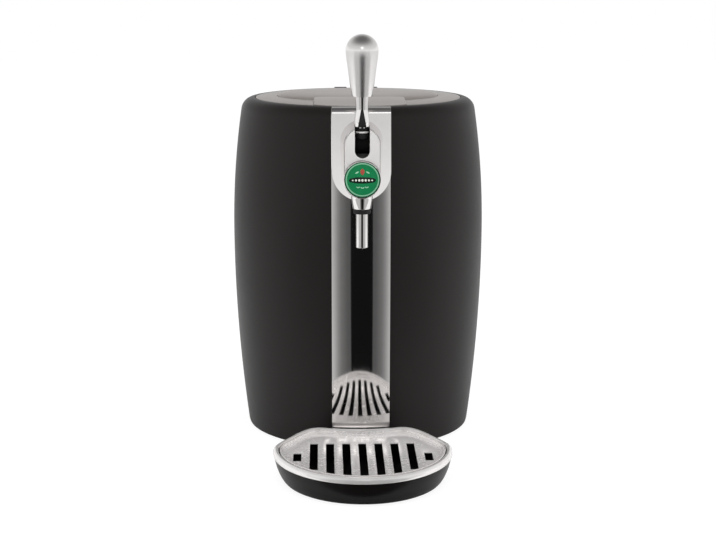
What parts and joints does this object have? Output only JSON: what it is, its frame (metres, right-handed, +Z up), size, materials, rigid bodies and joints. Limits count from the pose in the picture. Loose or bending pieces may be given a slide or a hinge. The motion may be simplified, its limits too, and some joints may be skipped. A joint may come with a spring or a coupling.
{
  "type": "mini keg beer dispenser",
  "caption": "Barrel-shaped chilled mini keg dispenser with a chrome front column, pull tap, round badge, hinged lid and a rounded pull-out drip tray with a slotted grille.",
  "frame": {"origin": "on the resting plane, under the middle of the whole outline's box", "axes": "+Z up, -Y towards the tap and the drip tray, +X to the right of someone facing the back, so the left of someone facing the tap is -X"},
  "size_m": [0.2762, 0.439, 0.4432],
  "materials": {
    "shell_plastic": "satin",
    "dark_plastic": "matte",
    "lid_paint": "satin",
    "button_paint": "satin",
    "chrome": "polished",
    "satin_metal": "satin",
    "grille_steel": "polished",
    "tray_plastic": "gloss",
    "badge_enamel": "gloss",
    "bare_aluminium": "satin",
    "liner_plastic": "matte",
    "insulation": "matte",
    "fastener_steel": "satin",
    "black_rubber": "matte",
    "soft_line": "satin",
    "module_white": "satin",
    "circuit_board": "matte",
    "brass": "satin",
    "iron_core": "matte",
    "sleeve": "gloss"
  },
  "bodies": {
    "housing": {"left_shell": "shell_plastic", "right_shell": "shell_plastic", "base_pan": "dark_plastic", "rubber_foot_1": "black_rubber", "rubber_foot_2": "black_rubber", "rubber_foot_3": "black_rubber", "rubber_foot_4": "black_rubber", "base_screws": "fastener_steel", "tray_plinth": "dark_plastic", "front_column": "chrome", "tap_hood": "chrome", "tap_head": "chrome", "tap_face": "satin_metal", "badge_rim": "chrome", "badge_disc": "badge_enamel", "nozzle_collar": "chrome", "nozzle_ring": "tray_plastic", "spout_tube": "chrome", "spout_seal": "black_rubber", "beer_line": "soft_line", "line_port": "dark_plastic", "tap_chassis": "dark_plastic", "lever_pin": "fastener_steel", "keg_well": "bare_aluminium", "insulation_foam": "insulation", "cold_plate": "bare_aluminium", "temperature_probe": "fastener_steel", "peltier_module": "module_white", "heat_sink": "bare_aluminium", "fan_frame": "dark_plastic", "fan_screws": "fastener_steel", "top_deck": "lid_paint", "hinge_bracket": "dark_plastic", "hinge_pin": "fastener_steel", "rear_panel": "shell_plastic", "rear_panel_screws": "fastener_steel", "switch_housing": "dark_plastic", "switch_axle": "fastener_steel", "cord_gland": "black_rubber", "board_standoffs": "brass", "power_board": "circuit_board", "transformer": "iron_core", "capacitors": "sleeve", "control_board": "circuit_board"},
    "lid": {"lid_shell": "lid_paint", "lid_liner": "liner_plastic", "lid_foam": "insulation", "lid_gasket": "black_rubber", "button_springs": "fastener_steel"},
    "button": {"lid_button": "button_paint", "latch_hook": "dark_plastic"},
    "lever": {"lever_hub": "fastener_steel", "lever_stem": "chrome", "lever_handle": "satin_metal"},
    "slider": {"pinch_slider": "liner_plastic"},
    "tray": {"tray_bowl": "tray_plastic", "tray_rim": "chrome"},
    "grille": {"drip_grille": "grille_steel"},
    "fan": {"fan_rotor": "dark_plastic"},
    "rocker": {"power_rocker": "tray_plastic"}
  },
  "joints": [
    {"name": "lid_hinge", "type": "hinge", "parent": "housing", "child": "lid", "pos_m": [0, 0.19765, 0.3637], "axis": [-1, 0, 0], "range_deg": [0, 95]},
    {"name": "button_press", "type": "slide", "parent": "lid", "child": "button", "axis": [0, 0, -1], "range_m": [0, 0.003], "stiffness_N_per_m": 400, "springref_m": -0.002, "deforming": ["button_springs"]},
    {"name": "tap_lever", "type": "hinge", "parent": "housing", "child": "lever", "pos_m": [0, -0.09655, 0.334], "axis": [1, 0, 0], "range_deg": [0, 55]},
    {"name": "pinch_slide", "type": "slide", "parent": "housing", "child": "slider", "axis": [0, -1, 0], "range_m": [0, 0.0022]},
    {"name": "tray_slide", "type": "slide", "parent": "housing", "child": "tray", "axis": [0, -1, 0], "range_m": [0, 0.12]},
    {"name": "grille_lift", "type": "slide", "parent": "tray", "child": "grille", "axis": [0, 0, 1], "range_m": [0, 0.05]},
    {"name": "fan_spin", "type": "hinge", "parent": "housing", "child": "fan", "pos_m": [0, 0.197, 0.15], "axis": [0, 1, 0], "continuous": true},
    {"name": "rocker_tilt", "type": "hinge", "parent": "housing", "child": "rocker", "pos_m": [-0.026, 0.20817, 0.046], "axis": [0, 0, 1], "range_deg": [-10, 10]}
  ],
  "couplings": [
    {"joint": "pinch_slide", "follows": "tap_lever", "m_per_rad": 0.00228}
  ]
}
